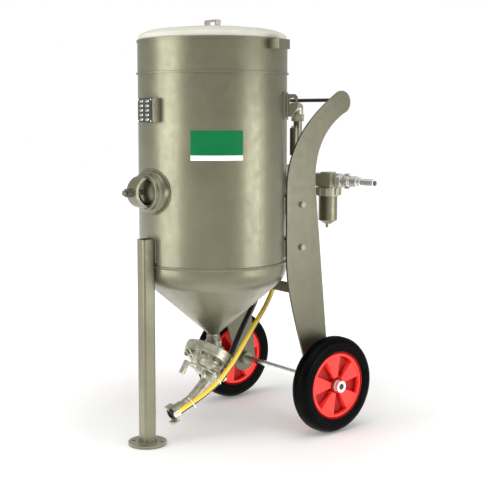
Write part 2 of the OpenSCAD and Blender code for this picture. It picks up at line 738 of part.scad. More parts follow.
module separator_head() color([0.3, 0.3, 0.28]) place() translate([sep_x, sep_y, sep_z]) {
    difference() {
        union() {
            translate([-34, -26, -16]) cube([68, 52, 32]);
            translate([0, 0, 12]) cylinder(r = 20, h = 8);
            rotate([0, 90, 0]) translate([0, 0, -40]) cylinder(r = 17, h = 80);
        }
        rotate([0, 90, 0]) translate([0, 0, -50]) cylinder(r = 9, h = 100, $fn = 48);
    }
}
module separator_ring() color([0.25, 0.25, 0.24]) place()
    translate([sep_x, sep_y, sep_z - 40]) difference() {
        union() {
            cylinder(r = 30, h = 22);
            for (a = [0:45:315]) rotate(a) translate([24, -5, 2]) cube([10, 10, 18]);
        }
        translate([0, 0, -1]) cylinder(r = bowl_r, h = 30);
    }
module separator_bowl() color([0.7, 0.7, 0.66]) place()
    translate([sep_x, sep_y, sep_z - 103]) difference() {
        union() {
            cylinder(r = bowl_r - e, h = 86);
            translate([0, 0, -10]) cylinder(r1 = 8, r2 = bowl_r - e, h = 10);
        }
        translate([0, 0, 0]) cylinder(r = bowl_r - 3, h = 90);
        translate([0, 0, -11]) cylinder(r = 4, h = 20, $fn = 48);
    }
module separator_drain() color(steel) place() translate([sep_x, sep_y, sep_z - 122]) {
    cylinder(r = 4 - run_gap, h = 14, $fn = 48);
    translate([0, 0, 0]) cylinder(r = 6, h = 8.5, $fn = fine);
    translate([-7, -1.5, 0]) cube([14, 3, 7]);
}

face_x = 139;       // where the two couplings of the air hose meet
tail_r = 9.5;
module inlet_coupling() color(steel) place() translate([face_x, sep_y, sep_z])
    rotate([0, 90, 0]) {
        claws(claw_r, 12, face_x - sep_x - 40, 7);
        translate([0, 0, -35]) difference() {
            union() {
                hex(32, 15);
                translate([0, 0, 15]) cylinder(r = 15.5, h = 9);
            }
            translate([0, 0, -1]) cylinder(r = 11, h = 30);
        }
    }

module hose_tail() color(steel) place() translate([face_x, sep_y, sep_z])
    rotate([0, 90, 0]) {
        mirror([0, 0, 1]) rotate(90) claws(claw_r, 12, 40, 7);
        translate([0, 0, 39]) difference() {
            union() {
                cylinder(r = tail_r, h = 50, $fn = 48);
                cylinder(r = 11.5, h = 5, $fn = 48);
                translate([0, 0, -27]) cylinder(r = 15, h = 22);
            }
            translate([0, 0, -30]) cylinder(r = 7, h = 90, $fn = 48);
        }
    }

vessel_shell();
bottom_cone();
filling_head();
filling_collar();
port_seal();
air_stand_pipe();
outlet_nipple();
popup_valve();
sieve();
lid();
lid_handle();
collar_lugs();
lifting_lugs();
door_frame();
door_gasket();
door_cover();
door_yoke();
door_nut();
data_plate_bracket();
data_plate();
label();
front_leg();
foot_plate();
shell_brackets();
side_plate_right();
side_plate_left();
hex_bolts();
handle_bar();
cross_strap();
axle();
axle_clamps();
axle_caps();
tyre_right();
rim_right();
bush_right();
tyre_left();
rim_left();
bush_left();
metering_body();
metering_cover();
metering_disc();
metering_lever();
inlet_coupling();
outlet_wye();
blast_coupling();
blast_gasket();
pusher_hose();
hose_clamps();
control_hoses();
cable_ties();
control_fittings();
air_riser();
pipe_fittings();
remote_valve();
exhaust_silencer();
separator_head();
separator_ring();
separator_bowl();
separator_drain();
hose_tail();
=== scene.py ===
"""Portable abrasive blast pot: materials, detailed pieces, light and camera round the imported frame."""

import math

import bpy
import bmesh
import numpy as np
from mathutils import Matrix, Vector, noise


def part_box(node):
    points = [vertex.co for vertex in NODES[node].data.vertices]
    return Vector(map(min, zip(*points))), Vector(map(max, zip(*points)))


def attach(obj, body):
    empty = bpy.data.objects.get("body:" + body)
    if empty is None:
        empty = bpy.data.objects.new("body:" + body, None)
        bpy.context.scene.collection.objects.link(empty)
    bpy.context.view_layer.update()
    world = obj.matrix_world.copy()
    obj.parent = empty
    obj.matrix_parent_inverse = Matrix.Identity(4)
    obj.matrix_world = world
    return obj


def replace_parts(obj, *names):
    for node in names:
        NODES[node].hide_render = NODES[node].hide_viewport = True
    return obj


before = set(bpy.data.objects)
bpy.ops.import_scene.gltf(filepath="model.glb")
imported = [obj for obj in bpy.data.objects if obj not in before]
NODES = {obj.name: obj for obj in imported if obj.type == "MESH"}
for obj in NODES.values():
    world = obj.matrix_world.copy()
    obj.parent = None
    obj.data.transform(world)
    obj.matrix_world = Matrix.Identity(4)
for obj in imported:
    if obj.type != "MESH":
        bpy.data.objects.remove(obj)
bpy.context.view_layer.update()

# ---------------------------------------------------------------- places, from the frame

MM = 0.001


def mid(node):
    """Middle of a CAD node's box."""
    low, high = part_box(node)
    return (low + high) / 2


AXIS = mid("vessel_shell")  # the vessel's axis in plan
VESSEL_R = (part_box("vessel_shell")[1].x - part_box("vessel_shell")[0].x) / 2
TYRE_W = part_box("tyre_right")[1].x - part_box("tyre_right")[0].x


def at(x, y, z):
    """A point given in millimetres from the vessel's axis at floor level."""
    return Vector((x * MM, AXIS.y + y * MM, z * MM))


# ---------------------------------------------------------------- camera

CAMERA_TURN = math.radians(51.81)
CAMERA_DIP = math.radians(5.27)


def make_camera():
    data = bpy.data.cameras.new("camera")
    data.lens = 74.86
    data.sensor_width = 36
    data.shift_y = -0.08
    cam = bpy.data.objects.new("camera", data)
    bpy.context.scene.collection.objects.link(cam)
    cam.location = at(1962.8, -1450.0, 778.0)
    cam.rotation_euler = (math.radians(90) - CAMERA_DIP, 0, CAMERA_TURN)
    bpy.context.scene.camera = cam


make_camera()

# ---------------------------------------------------------------- material helpers


class Shader:
    """A principled material with short calls for the nodes that feed it."""

    def __init__(self, name, colour, metallic=0.0, roughness=0.5, **fixed):
        self.mat = bpy.data.materials.new(name)
        self.mat.use_nodes = True
        self.nodes = self.mat.node_tree.nodes
        self.links = self.mat.node_tree.links
        self.bsdf = self.nodes["Principled BSDF"]
        self.set("Base Color", (*colour, 1))
        self.set("Metallic", metallic)
        self.set("Roughness", roughness)
        for key, value in fixed.items():
            self.set(key.replace("_", " "), value)
        self.coord = self.nodes.new("ShaderNodeTexCoord").outputs["Object"]

    def set(self, socket, value):
        self.bsdf.inputs[socket].default_value = value

    def link(self, out, socket):
        self.links.new(out, self.bsdf.inputs[socket])

    def noise(self, scale, detail=3.0, rough=0.5, stretch=None):
        node = self.nodes.new("ShaderNodeTexNoise")
        node.inputs["Scale"].default_value = scale
        node.inputs["Detail"].default_value = detail
        node.inputs["Roughness"].default_value = rough
        self.links.new(self.place(stretch), node.inputs["Vector"])
        return node.outputs["Fac"]

    def place(self, stretch):
        if stretch is None:
            return self.coord
        mapping = self.nodes.new("ShaderNodeMapping")
        mapping.inputs["Scale"].default_value = stretch
        self.links.new(self.coord, mapping.inputs["Vector"])
        return mapping.outputs["Vector"]

    def cells(self, scale):
        node = self.nodes.new("ShaderNodeTexVoronoi")
        node.inputs["Scale"].default_value = scale
        self.links.new(self.coord, node.inputs["Vector"])
        return node.outputs["Distance"]

    def ramp(self, value, low, high, stops=(0.35, 0.65)):
        """Maps a grey value to a colour between low and high."""
        node = self.nodes.new("ShaderNodeValToRGB")
        first, last = node.color_ramp.elements
        first.position, last.position = stops
        first.color, last.color = (*low, 1), (*high, 1)
        self.links.new(value, node.inputs["Fac"])
        return node.outputs["Color"]

    def spread(self, value, low, high, start=0.3, end=0.7):
        """Maps a grey value to a number between low and high."""
        node = self.nodes.new("ShaderNodeMapRange")
        for socket, number in zip(("From Min", "From Max", "To Min", "To Max"),
                                  (start, end, low, high)):
            node.inputs[socket].default_value = number
        self.links.new(value, node.inputs["Value"])
        return node.outputs["Result"]

    def mix(self, share, a, b):
        node = self.nodes.new("ShaderNodeMix")
        node.data_type = "RGBA"
        self.links.new(share, node.inputs["Factor"])
        for socket, value in (("A", a), ("B", b)):
            slot = next(s for s in node.inputs if s.name == socket and s.type == "RGBA")
            if isinstance(value, tuple):
                slot.default_value = (*value, 1)
            else:
                self.links.new(value, slot)
        return next(s for s in node.outputs if s.type == "RGBA")

    def bump(self, height, strength, distance, under=None):
        node = self.nodes.new("ShaderNodeBump")
        node.inputs["Strength"].default_value = strength
        node.inputs["Distance"].default_value = distance
        self.links.new(height, node.inputs["Height"])
        if under is not None:
            self.links.new(under, node.inputs["Normal"])
        return node.outputs["Normal"]


def metallic_paint(name, low, high, rough=0.37, grain=330.0, strength=0.45, metallic=0.72):
    """Satin metallic paint with a fine orange-peel surface and a little unevenness."""
    s = Shader(name, high, metallic=metallic, Coat_Weight=0.25, Coat_Roughness=0.18)
    patches = s.ramp(s.noise(9.0, 4.0), low, high)
    flakes = s.spread(s.cells(2600.0), 0.0, 0.10, 0.0, 0.9)
    s.link(s.mix(flakes, patches, tuple(min(1.0, c * 1.5) for c in high)), "Base Color")
    s.link(s.spread(s.noise(60.0, 3.0), rough - 0.05, rough + 0.07), "Roughness")
    peel = s.bump(s.noise(grain, 2.0), strength, 0.0005)
    s.link(s.bump(s.noise(22.0, 2.0), 0.10, 0.002, peel), "Normal")
    return s.mat


def cast_metal(name, low, high, rough=0.5):
    """Painted casting: grainy skin, dull in the pits."""
    s = Shader(name, high, metallic=0.65)
    s.link(s.ramp(s.noise(70.0, 4.0), low, high), "Base Color")
    s.link(s.spread(s.noise(120.0, 4.0), rough - 0.08, rough + 0.10), "Roughness")
    pits = s.bump(s.noise(420.0, 4.0, 0.6), 0.35, 0.0005)
    s.link(s.bump(s.noise(50.0, 3.0), 0.15, 0.0015, pits), "Normal")
    return s.mat


def bare_metal(name, colour, rough, stretch=None, metallic=1.0):
    """Plated or drawn metal, with fine lines along one axis if stretch is given."""
    s = Shader(name, colour, metallic=metallic)
    dull = tuple(c * 0.8 for c in colour)
    s.link(s.ramp(s.noise(70.0, 4.0), dull, colour), "Base Color")
    lines = s.noise(300.0, 3.0, 0.6, stretch)
    s.link(s.spread(lines, rough - 0.06, rough + 0.1), "Roughness")
    s.link(s.bump(lines, 0.12, 0.0003), "Normal")
    return s.mat


def soft_rubber(name, colour, rough=0.55, grain=500.0, shine=0.3):
    s = Shader(name, colour, Specular_IOR_Level=shine)
    pale = tuple(c * 1.6 + 0.001 for c in colour)
    s.link(s.ramp(s.noise(35.0, 5.0), colour, pale), "Base Color")
    s.link(s.spread(s.noise(80.0, 3.0), rough - 0.1, rough + 0.12), "Roughness")
    s.link(s.bump(s.noise(grain, 3.0), 0.3, 0.0004), "Normal")
    return s.mat


def moulded(name, low, high, rough=0.35, sheen_grain=600.0, **fixed):
    """Moulded plastic with faint flow marks and a fine grain."""
    s = Shader(name, high, **fixed)
    s.link(s.ramp(s.noise(14.0, 3.0), low, high), "Base Color")
    s.link(s.spread(s.noise(50.0, 3.0), rough - 0.06, rough + 0.1), "Roughness")
    s.link(s.bump(s.noise(sheen_grain, 2.0), 0.15, 0.0003), "Normal")
    return s.mat


OLIVE = metallic_paint("olive_paint", (0.141, 0.135, 0.088), (0.169, 0.163, 0.106))
# A darker copy of the olive paint for the side plates and cross strap: painted shade, damping the softbox's
# reflection on the plates.
OLIVE_PAINTED_SHADE = metallic_paint("olive_paint_plates_painted_shade", (0.100, 0.097, 0.062), (0.120, 0.116, 0.076), 0.42)
OLIVE_SMALL = metallic_paint("olive_paint_small_parts", (0.170, 0.164, 0.108), (0.215, 0.208, 0.140), 0.3,
                             metallic=0.3)
# A paler copy of the olive paint for the separator head and ring: painted light, lifting parts that sit in
# shade.
OLIVE_PAINTED_LIGHT = metallic_paint("olive_paint_painted_light", (0.30, 0.29, 0.20), (0.36, 0.35, 0.25), 0.32, metallic=0.2)
CAST = cast_metal("cast_grey", (0.30, 0.295, 0.225), (0.44, 0.43, 0.345), 0.34)
STEEL = bare_metal("bright_steel", (0.50, 0.49, 0.46), 0.28, (0.05, 1, 1))
ZINC = bare_metal("zinc_plate", (0.92, 0.92, 0.91), 0.16, metallic=0.72)
POLISHED = bare_metal("polished_rod", (0.80, 0.80, 0.78), 0.14, (0.05, 1, 1))
DARK_STEEL = bare_metal("dark_steel", (0.16, 0.16, 0.15), 0.4)
BLACK_PAINT = moulded("black_paint", (0.012, 0.012, 0.012), (0.025, 0.025, 0.024), 0.4)
RUBBER = soft_rubber("black_rubber", (0.005, 0.005, 0.005), 0.55)
HOSE_BLACK = soft_rubber("hose_black", (0.006, 0.006, 0.006), 0.22, 900.0, 0.5)
TYRE = soft_rubber("tyre_rubber", (0.0012, 0.0012, 0.0012), 0.4, shine=0.03)
RED = moulded("red_plastic", (0.90, 0.036, 0.026), (0.97, 0.050, 0.036), 0.4, Specular_IOR_Level=0.25)
NEAR_BLACK = moulded("dark_end", (0.010, 0.010, 0.009), (0.020, 0.020, 0.018), 0.5)
# A darker copy of the red plastic: painted shade for the wheel's pocket floors, hub, seat and lips.
RED_PAINTED_SHADE = moulded("red_plastic_shaded", (0.34, 0.006, 0.006), (0.46, 0.010, 0.010), 0.45,
                   Specular_IOR_Level=0.2)
NYLON = moulded("nylon", (0.62, 0.61, 0.56), (0.74, 0.73, 0.68), 0.45)
LID = moulded("lid_plastic", (0.50, 0.49, 0.42), (0.57, 0.56, 0.49), 0.42)
GREEN = moulded("label_green", (0.0, 0.135, 0.040), (0.0, 0.150, 0.046), 0.45, 300.0, Specular_IOR_Level=0.15)
WHITE = moulded("label_white", (0.82, 0.83, 0.82), (0.88, 0.88, 0.87), 0.4, 300.0)
YELLOW = moulded("hose_yellow", (0.80, 0.53, 0.030), (0.90, 0.62, 0.045), 0.3, 700.0)
BRASS = bare_metal("pale_brass", (0.78, 0.70, 0.50), 0.3)
PLATE_DARK = moulded("data_plate_dark", (0.03, 0.03, 0.028), (0.055, 0.055, 0.05), 0.35, metallic=0.4)

# ---------------------------------------------------------------- mesh helpers


def add(name, verts, faces, material, body, sharp=35.0):
    """A mesh object with its material, riding on a body."""
    mesh = bpy.data.meshes.new(name)
    mesh.from_pydata([tuple(v) for v in verts], [], faces)
    mesh.validate()
    return finish_piece(name, mesh, material, body, sharp)


def finish_piece(name, mesh, material, body, sharp=35.0):
    mesh.materials.append(material)
    mesh.shade_smooth()
    mesh.set_sharp_from_angle(angle=math.radians(sharp))
    obj = bpy.data.objects.new(name, mesh)
    bpy.context.scene.collection.objects.link(obj)
    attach(obj, body)
    return obj


def bevel(obj, width, segments=2, angle=35.0):
    """Rounds the hard edges of a piece a little."""
    mod = obj.modifiers.new("soft_edges", "BEVEL")
    mod.width = width * MM
    mod.segments = segments
    mod.limit_method = "ANGLE"
    mod.angle_limit = math.radians(angle)
    mod.harden_normals = False


def frame_of(direction):
    """Two unit vectors square to a direction."""
    d = Vector(direction).normalized()
    side = d.orthogonal().normalized()
    return side, d.cross(side)


def lathe(profile, centre, axis=(0, 0, 1), steps=96, closed=False):
    """Vertices and faces of a profile of (radius, along) points in mm, turned about an axis."""
    d = Vector(axis).normalized()
    u, v = frame_of(d)
    verts, faces = [], []
    n = len(profile)
    for i in range(steps):
        a = 2 * math.pi * i / steps
        out = math.cos(a) * u + math.sin(a) * v
        verts += [Vector(centre) + out * (r * MM) + d * (h * MM) for r, h in profile]
    for i in range(steps):
        j = (i + 1) % steps
        for k in range(n if closed else n - 1):
            m = (k + 1) % n
            faces.append((i * n + k, j * n + k, j * n + m, i * n + m))
    if not closed:
        for k, turn in ((0, 1), (n - 1, -1)):
            if profile[k][0] > 1e-6:
                faces.append(tuple(i * n + k for i in range(steps))[::turn])
    return verts, faces


def turned(name, profile, centre, axis, material, body, steps=96, closed=False, sharp=35.0):
    verts, faces = lathe(profile, centre, axis, steps, closed)
    obj = add(name, verts, faces, material, body, sharp)
    clean(obj)
    return obj


def clean(obj):
    """Joins doubled points and turns all faces outwards."""
    bm = bmesh.new()
    bm.from_mesh(obj.data)
    bmesh.ops.remove_doubles(bm, verts=bm.verts, dist=1e-6)
    bmesh.ops.recalc_face_normals(bm, faces=bm.faces)
    bm.to_mesh(obj.data)
    bm.free()


def sweep(points, radius, sides=16, loop=False):
    """A tube along points, with frames carried along so that it doesn't twist.

    radius is in metres: one number, or a function of the point's index and side's angle."""
    pts = [Vector(p) for p in points]
    n = len(pts)
    size = radius if callable(radius) else (lambda i, a: radius)
    tangents = []
    for i in range(n):
        before = pts[i - 1] if loop or i > 0 else pts[0]
        after = pts[(i + 1) % n] if loop or i < n - 1 else pts[-1]
        tangents.append((after - before).normalized())
    side = frame_of(tangents[0])[0]
    verts, faces = [], []
    for i in range(n):
        side = (side - tangents[i] * side.dot(tangents[i])).normalized()
        other = tangents[i].cross(side)
        for k in range(sides):
            a = 2 * math.pi * k / sides
            verts.append(pts[i] + (math.cos(a) * side + math.sin(a) * other) * size(i, a))
    for i in range(n if loop else n - 1):
        for k in range(sides):
            m = (k + 1) % sides
            j = (i + 1) % n
            faces.append((i * sides + k, i * sides + m, j * sides + m, j * sides + k))
    if not loop:
        faces.append(tuple(range(sides))[::-1])
        faces.append(tuple((n - 1) * sides + k for k in range(sides)))
    return verts, faces


def spline(points, steps):
    """Smooth curve through the points."""
    pts = [Vector(p) for p in points]
    out = []
    for i in range(len(pts) - 1):
        a, b = pts[max(i - 1, 0)], pts[i]
        c, d = pts[i + 1], pts[min(i + 2, len(pts) - 1)]
        for k in range(steps):
            t = k / steps
            out.append(0.5 * (2 * b + (c - a) * t + (2 * a - 5 * b + 4 * c - d) * t * t
                              + (3 * b - a - 3 * c + d) * t * t * t))
    return out + [pts[-1]]


def weld(name, points, width, body="vessel", loop=True, material=None):
    """A weld bead: a tube with the ripples of its passes."""
    def size(i, a):
        ripple = 0.12 * math.sin(i * 1.9) + 0.10 * noise.noise(Vector((i * 0.7, a, 3.0)))
        return width * MM * (1 + ripple)
    verts, faces = sweep(points, size, 8, loop)
    return add(name, verts, faces, material or OLIVE, body, 60.0)


# ---------------------------------------------------------------- CAD pieces that are kept

SMOOTH = {
    "vessel_shell": (OLIVE, 0), "bottom_cone": (OLIVE, 0), "filling_head": (OLIVE, 0),
    "filling_collar": (OLIVE, 0.8), "port_seal": (RUBBER, 0), "air_stand_pipe": (STEEL, 0),
    "outlet_nipple": (CAST, 0), "popup_valve": (STEEL, 0.5), "sieve": (ZINC, 0),
    "lid_handle": (STEEL, 0.6), "collar_lugs": (OLIVE, 1.0),
    "lifting_lugs": (OLIVE, 0.8), "door_gasket": (RUBBER, 0),
    "door_cover": (OLIVE, 0.8), "door_yoke": (OLIVE, 1.2), "door_nut": (DARK_STEEL, 0.5),
    "data_plate_bracket": (OLIVE, 0.3), "front_leg": (OLIVE, 0), "foot_plate": (OLIVE_SMALL, 0.8),
    # side plates and cross strap take the darker olive copy: painted shade
    "shell_brackets": (OLIVE, 0.6), "side_plate_right": (OLIVE_PAINTED_SHADE, 0.6),
    "side_plate_left": (OLIVE_PAINTED_SHADE, 0.6), "hex_bolts": (OLIVE_SMALL, 0.4), "handle_bar": (BLACK_PAINT, 0),
    "cross_strap": (OLIVE_PAINTED_SHADE, 0.5), "axle": (POLISHED, 0.8), "axle_clamps": (OLIVE, 1.0),
    "axle_caps": (ZINC, 1.2), "bush_right": (NYLON, 0.4), "bush_left": (NYLON, 0.4),
    "metering_body": (CAST, 1.0), "metering_cover": (CAST, 1.0), "metering_disc": (STEEL, 0),
    "metering_lever": (CAST, 0.8), "inlet_coupling": (ZINC, 0.5), "outlet_wye": (CAST, 0.8),
    "blast_coupling": (CAST, 0.8), "blast_gasket": (RUBBER, 0.6), "hose_clamps": (ZINC, 0.3),
    "control_fittings": (BRASS, 0.3), "air_riser": (OLIVE, 0), "pipe_fittings": (CAST, 0.8),
    "remote_valve": (CAST, 1.0), "exhaust_silencer": (OLIVE, 0.5),
    # separator head and ring take the paler olive copy: painted light
    "separator_head": (OLIVE_PAINTED_LIGHT, 1.2), "separator_ring": (OLIVE_PAINTED_LIGHT, 0.8),
    "separator_bowl": (OLIVE, 0), "separator_drain": (BRASS, 0.4), "hose_tail": (ZINC, 0.5),
}


def dress(node, material, width):
    obj = NODES[node]
    obj.data.materials.clear()
    obj.data.materials.append(material)
    obj.data.shade_smooth()
    obj.data.set_sharp_from_angle(angle=math.radians(28))
    if width:
        bevel(obj, width)


for node_name, (finish, edge) in SMOOTH.items():
    dress(node_name, finish, edge)

# ---------------------------------------------------------------- wheels


def tyre_profile():
    """Half-round shoulders, three rings in each wall, and two tread grooves; (radius, along)."""
    w = TYRE_W / MM / 2
    wall = [(79, w - 9.6), (82.4, w - 4.4), (83.4, w - 2.0), (86, w - 0.8), (88.0, w - 0.7), (88.5, w - 1.5),
            (89.1, w - 1.5), (89.6, w - 0.4), (94, w - 0.1), (96.6, w - 0.1), (97.1, w - 1.2),
            (98.4, w - 1.2), (98.9, w - 0.3), (102.5, w - 0.9), (105.2, w - 1.9), (105.5, w - 3.0),
            (106.4, w - 3.3), (107.0, w - 2.6), (110, w - 4.4), (112.6, w - 7.4), (114.0, w - 9.8)]
    tread = [(115.9, w - 13.4), (116.6, w - 15.6), (116.85, w - 17.0), (115.2, w - 17.4),
             (115.2, w - 18.8), (116.9, w - 19.2), (116.95, 1.8), (115.4, 1.3)]
    half = wall + tread
    return half + [(r, -h) for r, h in reversed(half)]


def make_tyre(side, body):
    node = f"tyre_{body.split('_')[1]}"
    centre = mid(node)
    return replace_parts(turned(f"{node}_moulded", tyre_profile(), centre, (side, 0, 0), TYRE,
                              body, 144, closed=True, sharp=30.0), node)


def ring_grid(heights, radii, centre, axis, steps=180):
    """A disc face whose height depends on radius and angle: heights(radius, angle) in mm."""
    d = Vector(axis).normalized()
    up = Vector((0, 0, 1))
    across = d.cross(up)
    verts, faces = [], []
    for r in radii:
        for k in range(steps):
            a = 2 * math.pi * k / steps
            verts.append(Vector(centre) + (math.cos(a) * up + math.sin(a) * across) * (r * MM)
                         + d * (heights(r, a) * MM))
    for i in range(len(radii) - 1):
        for k in range(steps):
            m = (k + 1) % steps
            faces.append((i * steps + k, i * steps + m, (i + 1) * steps + m, (i + 1) * steps + k))
    return verts, faces


SPOKES = 5
SPOKE_TILT = math.radians(10)
SPOKE_START, SPOKE_END = 18.2, 71.5  # radii between which the rim has spokes and pockets, mm
POCKET_H = 4.0  # height of a pocket's floor above the wheel's middle, mm


def spoke_share(r, a):
    """1 on a spoke, 0 in a pocket, with a short sloping wall; spokes widen outwards."""
    step = 2 * math.pi / SPOKES
    off = abs((a - SPOKE_TILT + step / 2) % step - step / 2)
    half = (6.2 + 0.325 * (r - 19)) / r
    edge = 1.6 / r
    return min(1.0, max(0.0, (half + edge - off) / edge))


def rim_height(r, a):
    """Height of the rim's outer face above the wheel's middle, in mm."""
    w = TYRE_W / MM / 2
    top, pocket = w - 6.0, POCKET_H
    if r > SPOKE_END:
        return top + (1.0 if r < 76 else 1.0 - (r - 76) * 0.4)
    if r < SPOKE_START:
        return pocket
    share = spoke_share(r, a)
    inner = min(1.0, max(0.0, (r - SPOKE_START) / 1.6))
    outer = min(1.0, max(0.0, (SPOKE_END - r) / 1.2))
    dish = top - 1.2 * math.sin(math.pi * (r - 18) / 54)
    if share < 1.0:
        return pocket + (dish - pocket) * max(share * inner, 1 - outer)
    return pocket + (dish - pocket) * inner


def make_rim(side, body):
    node = f"rim_{body.split('_')[1]}"
    centre = mid(node)
    radii = [16.9, 18.1, 18.7, 19.3, 19.9, 21, 23, 26, 30, 34, 38, 43, 48, 53, 58, 63, 67, 69.5,
             70.3, 70.9, 71.45, 71.6, 73.5, 75.9, 76.4, 77.2, 78.0]
    verts, faces = [], []
    for face in (1, -1):
        v, f = ring_grid(rim_height, radii, centre, (side * face, 0, 0))
        base = len(verts)
        verts += v
        faces += [tuple(base + i for i in quad) for quad in f]
    obj = add(f"{node}_spoked", verts, faces, RED, body, 26.0)
    clean(obj)
    obj.data.materials.append(RED_PAINTED_SHADE)
    # Pocket floors, their low walls and the hole round the hub take the darker red copy: painted shade in the
    # recesses.
    axis = Vector((side, 0, 0))
    for poly in obj.data.polygons:
        rel = poly.center - centre
        depth = abs(rel.dot(axis)) / MM
        r = (rel - axis * rel.dot(axis)).length / MM
        if depth < POCKET_H + 4.5 and r < SPOKE_END:
            poly.material_index = 1
    # Seat, hub and lips in the darker red copy: painted shade between rim and tyre and round the axle.
    turned(f"{node}_seat", [(78.0, -16.6), (78.9, -14), (78.9, 14), (78.0, 16.6), (76.6, 16.0),
                            (76.6, -16.0)], centre, axis, RED_PAINTED_SHADE, body, 96, closed=True)
    w = TYRE_W / MM / 2
    turned(f"{node}_hub", [(13.6, -w + 3), (16.4, -w + 3), (17.0, -w + 3.8), (17.0, w - 3.8),
                           (16.4, w - 3), (13.6, w - 3)],
           centre, axis, RED_PAINTED_SHADE, body, 72, closed=True)
    for tag, f in (("out", 1), ("in", -1)):
        turned(f"{node}_lip_{tag}", [(78.4, f * (w - 10.0)), (82.2, f * (w - 4.4)),
                                     (82.2, f * (w - 5.2)), (78.4, f * (w - 10.8))],
               centre, axis, RED_PAINTED_SHADE, body, 96, closed=True)
    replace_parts(obj, node)


for turn, wheel_body in ((1, "wheel_right"), (-1, "wheel_left")):
    make_tyre(turn, wheel_body)
    make_rim(turn, wheel_body)
    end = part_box("axle")[1] if turn > 0 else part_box("axle")[0]
    turned(f"axle_end_{'right' if turn > 0 else 'left'}", [(0.01, 0.5), (5.0, 0.5), (6.8, 0.3), (7.4, 0.0)],
           (end.x, mid("axle").y, mid("axle").z), (turn, 0, 0), NEAR_BLACK, "vessel", 48)

# ---------------------------------------------------------------- weld beads and small shell detail


def circle_z(radius, z, count=160, start=0.0, span=2 * math.pi):
    return [at(radius * math.cos(start + span * i / count), radius * math.sin(start + span * i / count), z)
            for i in range(count + (0 if span > 6.28 else 1))]


VR = VESSEL_R / MM
DOOR_Z, DOOR_HALF = 593, 11  # height of the handhole, and half the straight part of its oval


def make_welds():
    weld("weld_lower_seam", circle_z(VR + 0.2, 420.2, 420), 2.4)
    weld("weld_upper_seam", circle_z(VR + 0.2, 867.0, 420), 2.0)
    weld("weld_nipple", circle_z(15.0, 237.4, 90), 1.6)
    # down both sides of the leg, and across its top
    half = 17.2
    y_leg = -math.sqrt((VR + 0.6) ** 2 - half ** 2)
    path = [at(-half, y_leg, z) for z in range(430, 486, 3)]
    path += [at(x, -math.sqrt((VR + 0.8) ** 2 - x * x), 485.5) for x in range(-15, 16, 3)]
    path += [at(half, y_leg, z) for z in range(484, 429, -3)]
    weld("weld_leg_top", path, 2.0, loop=False)
    foot = []
    for k in range(60):
        a = 2 * math.pi * k / 60
        reach = 17.0 / max(abs(math.cos(a)), abs(math.sin(a)), 0.80)
        foot.append(at(reach * math.cos(a), -193 + reach * math.sin(a), 6.8))
    weld("weld_foot", foot, 1.8)
    # round the handhole frame, where it meets the shell
    oval = []
    for k in range(240):
        a = 2 * math.pi * k / 240
        side = DOOR_HALF if math.cos(a) >= 0 else -DOOR_HALF
        x, z = side + 51.6 * math.cos(a), DOOR_Z + 51.6 * math.sin(a)
        oval.append(at(x, -math.sqrt((VR + 0.6) ** 2 - x * x), z))
    weld("weld_handhole", oval, 2.2)
    for sign, name in ((1, "right"), (-1, "left")):
        a = math.radians(38) if sign > 0 else math.radians(142)
        u = Vector((math.cos(a), math.sin(a), 0))
        v = Vector((-math.sin(a), math.cos(a), 0))
        pad = []
        for x, z in ([(-19, z) for z in range(758, 823, 4)] + [(x, 822) for x in range(-15, 19, 4)]
                     + [(19, z) for z in range(822, 757, -4)] + [(x, 758) for x in range(15, -19, -4)]):
            reach = math.sqrt(VR ** 2 - x * x) + 0.6
            pad.append(at(0, 0, z) + u * (reach * MM) + v * (x * MM))
        weld(f"weld_lug_pad_{name}", pad, 1.5)
        for side_of in (-1, 1):
            line = [at(0, 0, z) + u * ((VR + 4.4) * MM) + v * (side_of * 3.4 * MM)
                    for z in range(766, 818, 2)]
            weld(f"weld_lug_{name}_{'ab'[side_of > 0]}", line, 1.4, loop=False)


make_welds()

# ---------------------------------------------------------------- label and data plate


def curved_sheet(name, turn0, turn1, z0, z1, radius, thickness, material, slot, columns=40):
    verts, faces = [], []
    for r in (radius, radius + thickness):
        for z in (z0, z1):
            for i in range(columns + 1):
                a = math.radians(turn0 + (turn1 - turn0) * i / columns)
                verts.append(at(r * math.cos(a), r * math.sin(a), z))
    n = columns + 1
    for i in range(columns):
        faces += [(2 * n + i, 2 * n + i + 1, 3 * n + i + 1, 3 * n + i), (i, n + i, n + i + 1, i + 1),
                  (i, i + 1, 2 * n + i + 1, 2 * n + i), (n + i, 3 * n + i, 3 * n + i + 1, n + i + 1)]
    faces += [(0, 2 * n, 3 * n, n), (columns, n + columns, 3 * n + columns, 2 * n + columns)]
    obj = add(name, verts, faces, material, "vessel", 40.0)
    clean(obj)
    return obj


LABEL_TURN = (-33.4 - 19.3, -33.4 + 19.3)
green = curved_sheet("label_film", *LABEL_TURN, 679, 735, VR + 0.25, 0.35, GREEN, "label_green")
curved_sheet("label_strip", *LABEL_TURN, 667.5, 679, VR + 0.25, 0.35, WHITE, "label_green")
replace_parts(green, "label")


def solid_box(name, low, high, material, body, edge=0.0):
    (x0, y0, z0), (x1, y1, z1) = low, high
    verts = [(x, y, z) for x in (x0, x1) for y in (y0, y1) for z in (z0, z1)]
    faces = [(0, 1, 3, 2), (4, 6, 7, 5), (0, 4, 5, 1), (2, 3, 7, 6), (0, 2, 6, 4), (1, 5, 7, 3)]
    obj = add(name, verts, faces, material, body)
    if edge:
        bevel(obj, edge, 2)
    return obj


